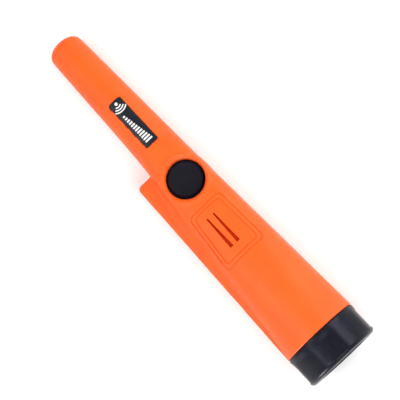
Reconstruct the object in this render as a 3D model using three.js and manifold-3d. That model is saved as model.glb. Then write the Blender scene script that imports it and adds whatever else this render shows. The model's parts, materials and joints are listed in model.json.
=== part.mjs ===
// Handheld pinpointer probe: a tapered wand with a search coil in it, a push button at the junction,
// a speaker, a lamp, a scraping fin, a vibration motor, a block battery and a screw cap at the back.
// X runs from the tip to the cap, the fin is on the -Y side, and the belly rests on z = 0.
import * as THREE from "three";
import { mergeVertices } from "three/addons/utils/BufferGeometryUtils.js";
import Module from "manifold-3d";

const wasm = await Module();
wasm.setup();

// Driving dimensions, in millimetres. Distances along X are counted from the tip.
const LENGTH = 235;
const SEAM_X = 217; // the housing ends here and the screw cap begins
const WAND_END_X = 93; // the wand widens into the handle here
const TIP_RADIUS = 10.2;
const WAND_RADIUS = 12.95;
const CAP_RADIUS = 21.75;
const CAP_Y = -3.85; // the handle leans towards the fin, and so does the cap's axis
const DOME_LENGTH = 6;
const DOME_POWER = 2.2;
const BELLY_CUT = 0.9; // how much of the round belly is cut off flat
const TOP_SQUARENESS = 2.4;
const BELLY_SQUARENESS = 0.4;
const WALL = 2.4;
const FIT = 0.3; // clearance between neighbouring pieces
const BUTTON_X = 109.4;
const BUTTON_LIP_Z = 25.8;
const LIP_TILT = 3.4; // degrees; the lip round the button rises towards the cap with the wand's top
const FIN_FRONT_X = 93.4;
const FIN_HALF_HEIGHT = 5;
const SPEAKER_X = 144.5;
const SPEAKER_Y = -3.5;
const COIL_Z = 10.4;
const BOARD_TOP = 10.6;
const BATTERY_Z = 21.25;
const THREAD_PITCH = 3;
const THREAD_START = 222;
const THREAD_TURNS = 1.75;
const BUTTON_TRAVEL = 0.6;
const MOTOR_Y = -0.5;
const MOTOR_Z = 5.4;

// ---- Sections of the housing --------------------------------------------------------------------

const smoothstep = THREE.MathUtils.smoothstep;
const capZ = CAP_RADIUS;
const capFillet = 2.4;
const wandTop = 2 * WAND_RADIUS - BELLY_CUT;

// The larger of two lines, with the corner between them rounded off.
function smoothMax(a, b, rounding) {
  return (a + b + Math.hypot(a - b, rounding)) / 2;
}

function lineThrough(x, x0, value0, x1, value1) {
  return value0 + ((x - x0) * (value1 - value0)) / (x1 - x0);
}

function halfWidth(x) {
  const wand = lineThrough(x, 0, TIP_RADIUS, WAND_END_X, WAND_RADIUS);
  const handle = lineThrough(x, WAND_END_X, WAND_RADIUS, SEAM_X, CAP_RADIUS);
  return smoothMax(wand, handle, 0.4);
}

function centreY(x) {
  return -smoothMax(0, lineThrough(x, WAND_END_X, 0, SEAM_X, -CAP_Y), 0.4);
}

function topZ(x) {
  const wand = lineThrough(x, 0, 2 * TIP_RADIUS - BELLY_CUT, WAND_END_X, wandTop);
  const handle = lineThrough(x, 118, 26.5, SEAM_X, 2 * CAP_RADIUS);
  return smoothMax(wand, handle, 1);
}

function bellyZ(x) {
  return -BELLY_CUT * (1 - smoothstep(x, 195, SEAM_X));
}

// 1 where the top is nearly flat, round the button, and 0 where sections are round.
function squareness(x) {
  return smoothstep(x, 78, 102) * (1 - 0.7 * smoothstep(x, 112, 150) - 0.3 * smoothstep(x, 150, SEAM_X - 3));
}

function domeShare(x) {
  const back = THREE.MathUtils.clamp(1 - x / DOME_LENGTH, 0, 1);
  return Math.pow(1 - Math.pow(back, DOME_POWER), 1 / DOME_POWER);
}

function partingZ(x) {
  return (topZ(x) + bellyZ(x)) / 2;
}

// One ring of points round the housing at x, drawn in by inset. dome tells how far along the tip it is.
function sectionRing(x, inset, dome = x, segments = 32) {
  const ring = [];
  const share = domeShare(dome);
  const wide = (halfWidth(x) - inset) * share;
  const high = ((topZ(x) - bellyZ(x)) / 2 - inset) * share;
  for (let i = 0; i < segments; i++) {
    const angle = (2 * Math.PI * i) / segments;
    const c = Math.cos(angle);
    const s = Math.sin(angle);
    const power = 2 / (2 + squareness(x) * (s > 0 ? TOP_SQUARENESS : BELLY_SQUARENESS));
    const y = centreY(x) + wide * Math.sign(c) * Math.abs(c) ** power;
    const z = partingZ(x) + high * Math.sign(s) * Math.abs(s) ** power;
    ring.push(new THREE.Vector3(x, y, z));
  }
  return ring;
}

// ---- Making solids ------------------------------------------------------------------------------

// A closed three.js geometry as a solid that can be joined and cut.
function solid(geometry) {
  const bare = geometry.clone();
  bare.deleteAttribute("normal");
  bare.deleteAttribute("uv");
  const merged = mergeVertices(bare, 1e-4);
  const triVerts = new Uint32Array(merged.index.array);
  const vertProperties = new Float32Array(merged.attributes.position.array);
  const made = new wasm.Manifold(new wasm.Mesh({ numProp: 3, vertProperties, triVerts }));
  if (made.volume() > 0) return made;
  triVerts.reverse();
  return new wasm.Manifold(new wasm.Mesh({ numProp: 3, vertProperties, triVerts }));
}

function toGeometry(made) {
  const mesh = made.getMesh();
  const geometry = new THREE.BufferGeometry();
  geometry.setAttribute("position", new THREE.BufferAttribute(new Float32Array(mesh.vertProperties), 3));
  geometry.setIndex(new THREE.BufferAttribute(new Uint32Array(mesh.triVerts), 1));
  geometry.computeVertexNormals();
  return geometry;
}

// A closed skin over rings that all have the same number of points, with a flat fan at each end.
function loft(rings) {
  const count = rings[0].length;
  const points = rings.flat();
  const index = [];
  for (let r = 0; r < rings.length - 1; r++) {
    for (let i = 0; i < count; i++) {
      const a = r * count + i;
      const b = r * count + ((i + 1) % count);
      index.push(a, b, a + count, b, b + count, a + count);
    }
  }
  for (const [ring, start] of [
    [rings[0], 0],
    [rings.at(-1), points.length - count],
  ]) {
    const middle = ring.reduce((sum, p) => sum.add(p), new THREE.Vector3()).divideScalar(count);
    const hub = points.push(middle) - 1;
    for (let i = 0; i < count; i++) {
      const a = start + i;
      const b = start + ((i + 1) % count);
      index.push(...(start === 0 ? [hub, b, a] : [hub, a, b]));
    }
  }
  const geometry = new THREE.BufferGeometry().setFromPoints(points);
  geometry.setIndex(index);
  return solid(geometry);
}

function box(x0, x1, y0, y1, z0, z1) {
  const geometry = new THREE.BoxGeometry(x1 - x0, y1 - y0, z1 - z0);
  return solid(geometry.translate((x0 + x1) / 2, (y0 + y1) / 2, (z0 + z1) / 2));
}

function rodX(radius, x0, x1, y, z, segments = 20) {
  const geometry = new THREE.CylinderGeometry(radius, radius, x1 - x0, segments);
  return solid(geometry.rotateZ(-Math.PI / 2).translate((x0 + x1) / 2, y, z));
}

function rodZ(radius, z0, z1, x, y, segments = 20) {
  const geometry = new THREE.CylinderGeometry(radius, radius, z1 - z0, segments);
  return solid(geometry.rotateX(Math.PI / 2).translate(x, y, (z0 + z1) / 2));
}

// A profile of [radius, height] pairs turned about +Z at x, y.
function latheZ(profile, x, y, segments = 24) {
  const points = profile.map(([radius, height]) => new THREE.Vector2(radius, height));
  const geometry = new THREE.LatheGeometry(points, segments);
  return solid(geometry.rotateX(Math.PI / 2).translate(x, y, 0));
}

// A profile of [radius, distance along X] pairs turned about a line along X at y, z.
function latheX(profile, y, z, segments = 24) {
  const points = profile.map(([radius, along]) => new THREE.Vector2(radius, along));
  const geometry = new THREE.LatheGeometry(points, segments);
  return solid(geometry.rotateZ(-Math.PI / 2).translate(0, y, z));
}

function ringProfile(inner, outer, from, to) {
  return [
    [inner, from],
    [outer, from],
    [outer, to],
    [inner, to],
    [inner, from],
  ];
}

// An outline in X and Y, extruded up from z0 to z1.
function prism(shape, z0, z1) {
  const options = { depth: z1 - z0, bevelEnabled: false, curveSegments: 6 };
  return solid(new THREE.ExtrudeGeometry(shape, options).translate(0, 0, z0));
}

// A four-cornered outline with rounded corners.
function roundedOutline(corners, radius) {
  const shape = new THREE.Shape();
  const at = (i) => new THREE.Vector2(...corners[(i + corners.length) % corners.length]);
  corners.forEach((_, i) => {
    const corner = at(i);
    const before = at(i - 1).sub(corner).setLength(radius).add(corner);
    const after = at(i + 1).sub(corner).setLength(radius).add(corner);
    if (i === 0) shape.moveTo(before.x, before.y);
    else shape.lineTo(before.x, before.y);
    shape.quadraticCurveTo(corner.x, corner.y, after.x, after.y);
  });
  shape.closePath();
  return shape;
}

// A rounded rectangle in Y and Z, extruded along X.
function blockX(x0, x1, y, z, wide, high, radius) {
  const corners = [
    [-high / 2, -wide / 2],
    [high / 2, -wide / 2],
    [high / 2, wide / 2],
    [-high / 2, wide / 2],
  ];
  const options = { depth: x1 - x0, bevelEnabled: false, curveSegments: 4 };
  const geometry = new THREE.ExtrudeGeometry(roundedOutline(corners, radius), options);
  return solid(geometry.rotateY(Math.PI / 2).translate(x0, y, z));
}

// An insulated wire through a few points.
function wire(points, radius = 0.55) {
  const path = new THREE.CatmullRomCurve3(points.map((p) => new THREE.Vector3(...p)));
  const section = new THREE.Shape().absarc(0, 0, radius, 0, 2 * Math.PI);
  const options = { steps: 2 * points.length, bevelEnabled: false, extrudePath: path, curveSegments: 3 };
  return solid(new THREE.ExtrudeGeometry(section, options));
}

// One helical ridge of a screw thread about the cap's axis.
function helix(rootRadius, crestRadius, phase) {
  const perTurn = 20;
  const rings = [];
  for (let i = 0; i <= perTurn * THREAD_TURNS; i++) {
    const angle = phase + (2 * Math.PI * i) / perTurn;
    const x = THREAD_START + (THREAD_PITCH * i) / perTurn;
    const at = (radius, dx) =>
      new THREE.Vector3(x + dx, CAP_Y + radius * Math.cos(angle), capZ + radius * Math.sin(angle));
    rings.push([at(rootRadius, -0.75), at(crestRadius, -0.35), at(crestRadius, 0.35), at(rootRadius, 0.75)]);
  }
  return loft(rings);
}

const root = new THREE.Group();
root.position.set(-LENGTH / 2, -CAP_Y, 0); // the origin is below the middle of the whole object

function piece(name, made, material) {
  const mesh = new THREE.Mesh(toGeometry(made), material);
  mesh.name = name;
  root.add(mesh);
}

// ---- Materials ----------------------------------------------------------------------------------

function material(color, roughness, metalness = 0) {
  return new THREE.MeshStandardMaterial({ color, roughness, metalness });
}
const orangePlastic = material(0xf4601e, 0.45);
const blackPlastic = material(0x25262b, 0.5);
const blackRubber = material(0x1c1c20, 0.8);
const redRubber = material(0x8c2410, 0.7);
const foam = material(0x3a3a3e, 0.95);
const clear = material(0xe8eef2, 0.1);
const boardGreen = material(0x14532d, 0.5);
const chipBlack = material(0x18181a, 0.6);
const steel = material(0xb8bcc2, 0.3, 1);
const tin = material(0xc9cdd2, 0.35, 1);
const brass = material(0xc9a24a, 0.3, 1);
const copper = material(0xb5622e, 0.35, 1);
const ferrite = material(0x3d3a3a, 0.7);
const paper = material(0x2b2925, 0.9);
const redWire = material(0xb3201c, 0.5);
const blackWire = material(0x1b1b1e, 0.5);
const battery = material(0x3c4248, 0.4);
const ivory = material(0xe6e2d6, 0.6);

// ---- Housing ------------------------------------------------------------------------------------

const domeStops = [0.02, 0.4, 1.2, 2.2, 3.4, 4.7, 6];
const bodyStops = [45, 80, 88, 94, 100, 106, 112, 118, 124, 132, 142, 154, 166, 178, 190, 200, 208, SEAM_X];

const above = box(-10, LENGTH + 10, -50, 50, 0, 60);
const fullLoft = (inset) =>
  loft([...domeStops, ...bodyStops].map((x) => sectionRing(x, inset))).intersect(above);

// The hollow starts a wall's thickness behind the tip and runs out through the seam.
const hollowStops = [...domeStops.map((x) => x + WALL), ...bodyStops];
const hollowRings = hollowStops.map((x) => sectionRing(x, WALL, x - WALL));
hollowRings.push(sectionRing(SEAM_X, WALL).map((p) => p.clone().setX(SEAM_X + 5)));
const hollow = loft(hollowRings).intersect(box(-10, LENGTH + 10, -50, 50, WALL - 0.4, 60));

// The scraping fin: a flat-topped ledge that starts in a square step and is swallowed by the handle.
function finRing(x, outerY, drawnIn) {
  const chamfer = 1.2;
  const high = FIN_HALF_HEIGHT - drawnIn;
  const y = outerY + drawnIn;
  const inner = centreY(x) - 4;
  const corners = [
    [inner, high],
    [y + chamfer, high],
    [y, high - chamfer],
    [y, -high + chamfer],
    [y + chamfer, -high],
    [inner, -high],
  ];
  return corners.map(([py, pz]) => new THREE.Vector3(x, py, partingZ(x) + pz));
}
const finEdgeY = (x) => lineThrough(x, 98, -23.3, SEAM_X, -25.4);
const finFront = [
  [FIN_FRONT_X, 2.4],
  [FIN_FRONT_X + 0.7, 0.7],
  [FIN_FRONT_X + 2.4, 0],
];
const finStops = [104, 112, 118, 124, 132, 142, 154, 166, 178, 190, 200, 208, SEAM_X];
const fin = loft([
  ...finFront.map(([x, back]) => finRing(x, finEdgeY(x) + back, 0)),
  ...finStops.map((x) => finRing(x, finEdgeY(x), 0)),
]);
const finCore = loft([103, ...finStops.slice(0, 9)].map((x) => finRing(x, finEdgeY(x), WALL)));

// An upright rod about the button's axis, from z0 to z1 above the lip, leaning with it.
const tiltedRod = (radius, z0, z1) =>
  rodZ(radius, z0, z1, 0, 0, 32).rotate([0, -LIP_TILT, 0]).translate([BUTTON_X, 0, BUTTON_LIP_Z]);
const boss = tiltedRod(13.2, -13, 0);
const spotface = tiltedRod(12.4, 0, 15);
const outer = fullLoft(0).add(fin).add(boss).subtract(spotface);

// The speaker cover and the label lie flush in pockets that follow the housing's skin.
const coverCorners = [
  [127.5, -13.05],
  [162.1, -16.2],
  [162.1, 10],
  [127.5, 8.4],
];
const shrunk = (corners, by) => {
  const middleX = (corners[0][0] + corners[2][0]) / 2;
  const middleY = (corners[0][1] + corners[2][1]) / 2;
  return corners.map(([x, y]) => [x - by * Math.sign(x - middleX), y - by * Math.sign(y - middleY)]);
};
const coverThickness = 1.2;
const coverPocket = prism(roundedOutline(coverCorners, 3), 15, 50).subtract(fullLoft(coverThickness + FIT));
const labelCorners = [
  [49.9, -3.8],
  [83, -3.8],
  [83, 4.65],
  [49.9, 4.65],
];
const labelPocket = prism(roundedOutline(labelCorners, 1.3), 12, 50).subtract(fullLoft(0.6));

const seatZ = BUTTON_LIP_Z - 3.7; // the button's flange stops against the underside of this ring
const skirtEnd = 16.8; // below the seat a skirt goes on down round the flange and holds the retaining ring
const seat = latheZ(ringProfile(10.9, 13.1, skirtEnd, BUTTON_LIP_Z + 1), BUTTON_X, 0, 32);
const speakerCollar = latheZ(ringProfile(9.3, 10.5, 21, 34), SPEAKER_X, SPEAKER_Y);
const ledBore = rodX(2.9, FIN_FRONT_X - 2, 104, -18, partingZ(97));
const boardPosts = [
  [97, 4.5],
  [147, -6],
];
const supports = [
  box(173.8, 175.7, -16, 8, 1, 14), // holds the contact plate
  box(183.5, 185.5, -16, 8, 1, BATTERY_Z - 9.05), // a rib under the battery
  box(127, 128.6, -6, -4.4, 1, 7), // keep the motor holder in place
  box(127, 128.6, 3.4, 5, 1, 7),
  ...boardPosts.map(([x, y]) => rodZ(2.3, 1, BOARD_TOP - 1.9, x, y, 16)),
];
const screwHoles = boardPosts.map(([x, y]) => rodZ(1.3, 4, 12, x, y, 12));

// Everything above, or below, the parting surface that follows the middle of the sections.
function halfSpace(side, gap) {
  const edge = [-10, ...bodyStops, LENGTH + 10];
  const shape = new THREE.Shape();
  shape.moveTo(edge[0], side * 60);
  edge.forEach((x) => shape.lineTo(x, partingZ(THREE.MathUtils.clamp(x, 0, SEAM_X)) + side * gap));
  shape.lineTo(edge.at(-1), side * 60);
  shape.closePath();
  const geometry = new THREE.ExtrudeGeometry(shape, { depth: 100, bevelEnabled: false });
  return solid(geometry.rotateX(Math.PI / 2).translate(0, 50, 0));
}

const skin = outer.subtract(hollow).subtract(finCore);
let upper = skin.intersect(halfSpace(1, 0.1));
upper = upper.add(seat.intersect(outer)).add(speakerCollar.intersect(fullLoft(WALL - 0.5)));
upper = upper.subtract(rodZ(10.9, 15, 40, BUTTON_X, 0, 32)).subtract(rodZ(11.8, 15, seatZ, BUTTON_X, 0, 32));
upper = upper.subtract(coverPocket).subtract(labelPocket).subtract(rodZ(8, 20, 40, SPEAKER_X, SPEAKER_Y));
upper = upper.subtract(ledBore);
piece("upper_shell", upper, orangePlastic);

let lower = skin.intersect(halfSpace(-1, 0.1)).subtract(ledBore);
supports.forEach((support) => {
  lower = lower.add(support.intersect(fullLoft(0.5)));
});
screwHoles.forEach((hole) => {
  lower = lower.subtract(hole);
});
piece("lower_shell", lower, orangePlastic);

// Two slots in the cover that widen towards the cap let the sound out.
const slotOutline = (y) =>
  new THREE.Shape([
    new THREE.Vector2(134.3, y - 0.42),
    new THREE.Vector2(154.6, y - 1.05),
    new THREE.Vector2(154.6, y + 1.05),
    new THREE.Vector2(134.3, y + 0.42),
  ]);
let cover = prism(roundedOutline(shrunk(coverCorners, FIT), 2.7), 15, 50);
cover = cover.intersect(fullLoft(0)).subtract(fullLoft(coverThickness));
cover = cover.subtract(prism(slotOutline(SPEAKER_Y + 2.25), 15, 50));
cover = cover.subtract(prism(slotOutline(SPEAKER_Y - 2.3), 15, 50));
piece("speaker_cover", cover, orangePlastic);

const labelBlank = prism(roundedOutline(shrunk(labelCorners, 0.2), 1.1), 12, 50);
piece("name_label", labelBlank.intersect(fullLoft(0)).subtract(fullLoft(0.4)), blackPlastic);

// ---- Push button and the switch under it --------------------------------------------------------

const lip = BUTTON_LIP_Z;
const flangeTop = seatZ - FIT;
const flangeBottom = flangeTop - 1.4;
const plungerTop = 16.65;
const stemEnd = plungerTop + 0.05; // the stem just touches the plunger, so both move together
const buttonProfile = [
  [0, lip - 2.15],
  [7.4, lip - 2.15],
  [8.2, lip - 1.7],
  [9, lip - 1.7],
  [9.7, lip - 2.5],
  [9.7, flangeTop],
  [11.3, flangeTop],
  [11.3, flangeBottom],
  [2.6, flangeBottom],
  [2.6, stemEnd],
  [0, stemEnd],
];
piece("button_cap", latheZ(buttonProfile, BUTTON_X, 0, 32), blackRubber);
const retainerProfile = ringProfile(8, 11.5, 17, flangeBottom - 2 * BUTTON_TRAVEL);
piece("button_retainer", latheZ(retainerProfile, BUTTON_X, 0, 32), blackPlastic);

const switchBase = BOARD_TOP + 0.1;
const switchBody = box(BUTTON_X - 3.1, BUTTON_X + 3.1, -3.1, 3.1, switchBase, switchBase + 3.6);
piece("tact_switch_body", switchBody.subtract(rodZ(2, switchBase + 1.4, 20, BUTTON_X, 0, 16)), chipBlack);
piece("tact_switch_plunger", rodZ(1.7, switchBase + 1.5 + BUTTON_TRAVEL, plungerTop, BUTTON_X, 0, 16), ivory);

// ---- Circuit board ------------------------------------------------------------------------------

let board = box(93.5, 152, -9.3, 8.3, BOARD_TOP - 1.6, BOARD_TOP);
boardPosts.forEach(([x, y]) => {
  board = board.subtract(rodZ(1.3, 0, 20, x, y, 16));
});
piece("main_board", board, boardGreen);
boardPosts.forEach(([x, y], i) => {
  const head = rodZ(2, BOARD_TOP + 0.1, BOARD_TOP + 1.5, x, y, 20);
  const thread = rodZ(1, 5, 11, x, y, 12);
  const drive = box(x - 1.5, x + 1.5, y - 0.25, y + 0.25, BOARD_TOP + 0.9, BOARD_TOP + 3);
  piece(["board_screw_front", "board_screw_rear"][i], head.add(thread).subtract(drive), steel);
});
const onBoard = (name, x, y, long, wide, high, look) => {
  const geometry = new THREE.BoxGeometry(long, wide, high);
  piece(name, solid(geometry.translate(x, y, switchBase + high / 2)), look);
};
onBoard("controller_chip", 123, 2, 7, 7, 1.1, chipBlack);
onBoard("amplifier_chip", 133, -5.5, 5, 4, 1.5, chipBlack);
onBoard("trim_pot", 146, 4.4, 5, 5, 3.2, material(0x2f5fa8, 0.5));
piece("crystal_can", blockX(114.5, 120.5, -5.6, switchBase + 1.6, 3.6, 3, 1.2), tin);
piece("capacitor_large", rodZ(3, switchBase, switchBase + 4.4, 132, 4.2), chipBlack);
piece("capacitor_small", rodZ(2, switchBase, switchBase + 3.6, 139.5, 5), chipBlack);

// ---- Speaker ------------------------------------------------------------------------------------

// A thin sealing sheet lies against the cover's underside and shows through its slots.
const membrane = prism(roundedOutline(shrunk(coverCorners, 3), 2), 15, 50);
const sheet = fullLoft(coverThickness + 0.03).subtract(fullLoft(coverThickness + 0.23));
piece("speaker_membrane", membrane.intersect(sheet), redRubber);
piece("speaker_gasket", latheZ(ringProfile(6.4, 8.2, 23.6, 24.6), SPEAKER_X, SPEAKER_Y), foam);
const basketProfile = [
  [3.2, 19.4],
  [9, 19.4],
  [9, 23.3],
  [8, 23.3],
  [8, 20.4],
  [3.2, 20.4],
  [3.2, 19.4],
];
piece("speaker_basket", latheZ(basketProfile, SPEAKER_X, SPEAKER_Y), tin);
const coneProfile = [
  [0, 21],
  [2.4, 21],
  [7.6, 22.7],
  [7.6, 23.1],
  [2.3, 21.5],
  [0, 21.5],
];
piece("speaker_cone", latheZ(coneProfile, SPEAKER_X, SPEAKER_Y), paper);
piece("speaker_magnet", rodZ(5, 15.9, 19.1, SPEAKER_X, SPEAKER_Y), steel);

// ---- Vibration motor: a small can with an off-centre weight -------------------------------------

const motorBore = rodX(1.1, 130, 138, MOTOR_Y, MOTOR_Z);
piece("motor_can", rodX(3, 131, 142, MOTOR_Y, MOTOR_Z).subtract(motorBore), steel);
piece("motor_shaft", rodX(0.75, 124.4, 137, MOTOR_Y, MOTOR_Z, 16), steel);
const weightBlank = rodX(2.9, 125.2, 128.2, MOTOR_Y, MOTOR_Z, 24);
const weightCut = box(125, 129, MOTOR_Y - 4, MOTOR_Y + 4, MOTOR_Z + 1.5, MOTOR_Z + 5);
const weightBore = rodX(1.05, 124, 130, MOTOR_Y, MOTOR_Z, 16);
piece("motor_weight", weightBlank.subtract(weightCut).subtract(weightBore), brass);
let holder = box(132, 141, MOTOR_Y - 4.5, MOTOR_Y + 4.5, 2.1, 7.4);
holder = holder.subtract(rodX(3.3, 130, 143, MOTOR_Y, MOTOR_Z)).intersect(fullLoft(WALL + FIT));
holder = holder.subtract(box(131, 142, MOTOR_Y - 2.9, MOTOR_Y + 2.9, 5, 9));
piece("motor_holder", holder, blackRubber);

// ---- Search coil in the wand --------------------------------------------------------------------

const bobbinProfile = [
  [4.3, 9],
  [6.8, 9],
  [6.8, 10.2],
  [5.2, 10.2],
  [5.2, 60],
  [6.8, 60],
  [6.8, 61.2],
  [5.2, 61.2],
  [5.2, 72],
  [4.3, 72],
  [4.3, 9],
];
piece("ferrite_rod", rodX(4, 7.4, 75, 0, COIL_Z), ferrite);
piece("coil_bobbin", latheX(bobbinProfile, 0, COIL_Z, 20), ivory);
piece("coil_winding", latheX(ringProfile(5.5, 6.5, 10.5, 59.7), 0, COIL_Z, 20), copper);
piece("wand_foam_ring", latheX(ringProfile(5.5, 8.1, 63, 69.5), 0, COIL_Z, 20), foam);
piece("tip_pad", rodX(5.4, 4.2, 7.1, 0, 9.8, 20), foam);

// ---- Lamp in the step of the fin ----------------------------------------------------------------

const lampZ = partingZ(97);
const lampProfile = [
  [0, FIN_FRONT_X + 0.6],
  [0.9, FIN_FRONT_X + 0.75],
  [1.7, FIN_FRONT_X + 1.3],
  [2.1, FIN_FRONT_X + 2.2],
  [2.1, FIN_FRONT_X + 7],
  [0, FIN_FRONT_X + 7],
];
piece("lamp_led", latheX(lampProfile, -18, lampZ, 24), clear);
const grommetProfile = ringProfile(2.3, 2.75, FIN_FRONT_X + 1.5, FIN_FRONT_X + 6);
piece("lamp_grommet", latheX(grommetProfile, -18, lampZ, 24), blackRubber);

// ---- Battery bay --------------------------------------------------------------------------------

const batteryBack = 228.4;
piece("battery_case", blockX(182, batteryBack, CAP_Y, BATTERY_Z, 26.2, 17.2, 2.2), battery);
piece("battery_positive", rodX(2.8, 179.4, 181.8, CAP_Y + 6.35, BATTERY_Z, 20), tin);
piece("battery_negative", rodX(3.9, 179.4, 181.8, CAP_Y - 6.35, BATTERY_Z, 6), tin);
piece("contact_plate", blockX(176, 178.1, CAP_Y, BATTERY_Z, 24, 16, 2), blackPlastic);
piece("contact_positive", rodX(4, 178.3, 179.1, CAP_Y + 6.35, BATTERY_Z, 20), tin);
piece("contact_negative", rodX(3.2, 178.3, 179.1, CAP_Y - 6.35, BATTERY_Z, 20), tin);

// The tube guides the battery and carries the outside thread that the cap screws on to.
const neckEnd = 228.2;
let tube = blockX(196, 214, CAP_Y, BATTERY_Z, 29.4, 20.4, 3.6);
tube = tube.add(rodX(18.6, 213, SEAM_X, CAP_Y, capZ, 32)).add(rodX(18, 216, neckEnd, CAP_Y, capZ, 32));
tube = tube.add(helix(17.7, 18.95, 0));
tube = tube.subtract(blockX(195, 230, CAP_Y, BATTERY_Z, 27, 18, 2.4));
piece("battery_tube", tube, blackPlastic);

// ---- Screw cap ----------------------------------------------------------------------------------

const capFront = SEAM_X + FIT;
const ringSeat = 218.3; // the sealing ring lies between the housing's end and this step in the cap

// Eight shallow hollows round the side give the fingers a hold.
function capRing(x, radius, grip) {
  const segments = 48;
  const ring = [];
  for (let i = 0; i < segments; i++) {
    const angle = (2 * Math.PI * (i + 0.5)) / segments;
    const fromMiddle = THREE.MathUtils.euclideanModulo(THREE.MathUtils.radToDeg(angle) + 22.5, 45) - 22.5;
    const r = radius - 0.65 * grip * Math.max(0, 1 - (fromMiddle / 19) ** 2);
    ring.push(new THREE.Vector3(x, CAP_Y + r * Math.cos(angle), capZ + r * Math.sin(angle)));
  }
  return ring;
}
const filletStops = [0, 0.25, 0.5, 0.75, 1].map((share) => {
  const angle = (share * Math.PI) / 2;
  return [LENGTH - capFillet + capFillet * Math.sin(angle), CAP_RADIUS - capFillet * (1 - Math.cos(angle))];
});
const capRings = [
  capRing(capFront, CAP_RADIUS - 0.4, 0),
  capRing(capFront + 0.4, CAP_RADIUS, 0),
  capRing(capFront + 1.2, CAP_RADIUS, 0),
  capRing(capFront + 4.8, CAP_RADIUS, 1),
  capRing(LENGTH - capFillet - 0.5, CAP_RADIUS, 1),
  ...filletStops.map(([x, radius]) => capRing(x, radius, 0)),
];
let cap = loft(capRings);
cap = cap.subtract(rodX(20.3, capFront - 1, ringSeat, CAP_Y, capZ, 32));
cap = cap.subtract(rodX(19.4, ringSeat - 1, 229.2, CAP_Y, capZ, 32));
cap = cap.subtract(rodX(16, 228, 232.4, CAP_Y, capZ, 32));
cap = cap.subtract(rodX(14.6, LENGTH - 0.6, LENGTH + 1, CAP_Y, capZ, 32));
cap = cap.add(helix(19.7, 18.4, Math.PI));
piece("cap_shell", cap, blackPlastic);
const sealRing = new THREE.TorusGeometry(19.65, 0.58, 6, 48).rotateY(Math.PI / 2);
piece("cap_o_ring", solid(sealRing.translate(SEAM_X + 0.67, CAP_Y, capZ)), blackRubber);
piece("cap_pad", rodX(12, 229.4, 232.1, CAP_Y, capZ, 24), foam);

// ---- Wires --------------------------------------------------------------------------------------

const padZ = BOARD_TOP + 0.9; // the middle of a wire that lies on the board
const wandLeadZ = COIL_Z + 5.4;
const redY = CAP_Y + 6.35;
const blackY = CAP_Y - 6.35;
const lampRed = [
  [100.9, -18, lampZ + 0.8],
  [105, -17, 13.5],
  [109, -12, 13.6],
  [111.8, -6.2, padZ],
];
const lampBlack = [
  [100.9, -18, lampZ - 0.8],
  [104, -17.4, 11.8],
  [107, -12.5, 12.2],
  [109.2, -7.5, padZ],
];
const fromCoil = (side, padX, padY) => [
  [72.6, 2 * side, wandLeadZ],
  [82, 3 * side, 15],
  [95, padY + 1, 14],
  [padX, padY, padZ],
];
const fromSpeaker = (y, padX) => [
  [SPEAKER_X + 9.6, y, 20],
  [SPEAKER_X + 11.6, y, 17],
  [SPEAKER_X + 11, y, 14.5],
  [padX, y, padZ],
];
const fromMotor = (y, padY) => [
  [142.5, y, MOTOR_Z],
  [149, y - 0.1, MOTOR_Z - 0.2],
  [154.2, padY - 0.2, 8],
  [153.8, padY, 11.4],
  [150.6, padY, padZ],
];
const fromBattery = (y, bendY, padX, padY) => [
  [175.6, y, BATTERY_Z],
  [168, y, 18],
  [159, bendY, 14],
  [padX, padY, padZ],
];
const leads = [
  ["coil_lead_inner", copper, 0.35, fromCoil(1, 100.5, -1)],
  ["coil_lead_outer", copper, 0.35, fromCoil(-1, 100.5, -6)],
  ["lamp_lead_red", redWire, 0.5, lampRed],
  ["lamp_lead_black", blackWire, 0.5, lampBlack],
  ["speaker_lead_red", redWire, 0.5, fromSpeaker(-0.6, 150.5)],
  ["speaker_lead_black", blackWire, 0.5, fromSpeaker(-4, 151)],
  ["motor_lead_red", redWire, 0.5, fromMotor(0.4, 1)],
  ["motor_lead_black", blackWire, 0.5, fromMotor(-1.6, -2.4)],
  ["battery_lead_red", redWire, 0.7, fromBattery(redY, 6, 150.4, 6.4)],
  ["battery_lead_black", blackWire, 0.7, fromBattery(blackY, -7, 150.8, -7.6)],
];
for (const [name, look, radius, route] of leads) {
  piece(name, wire(route, radius), look);
}

export default root;
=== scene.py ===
"""Looks of the pinpointer probe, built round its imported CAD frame."""
import json
import math

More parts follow.
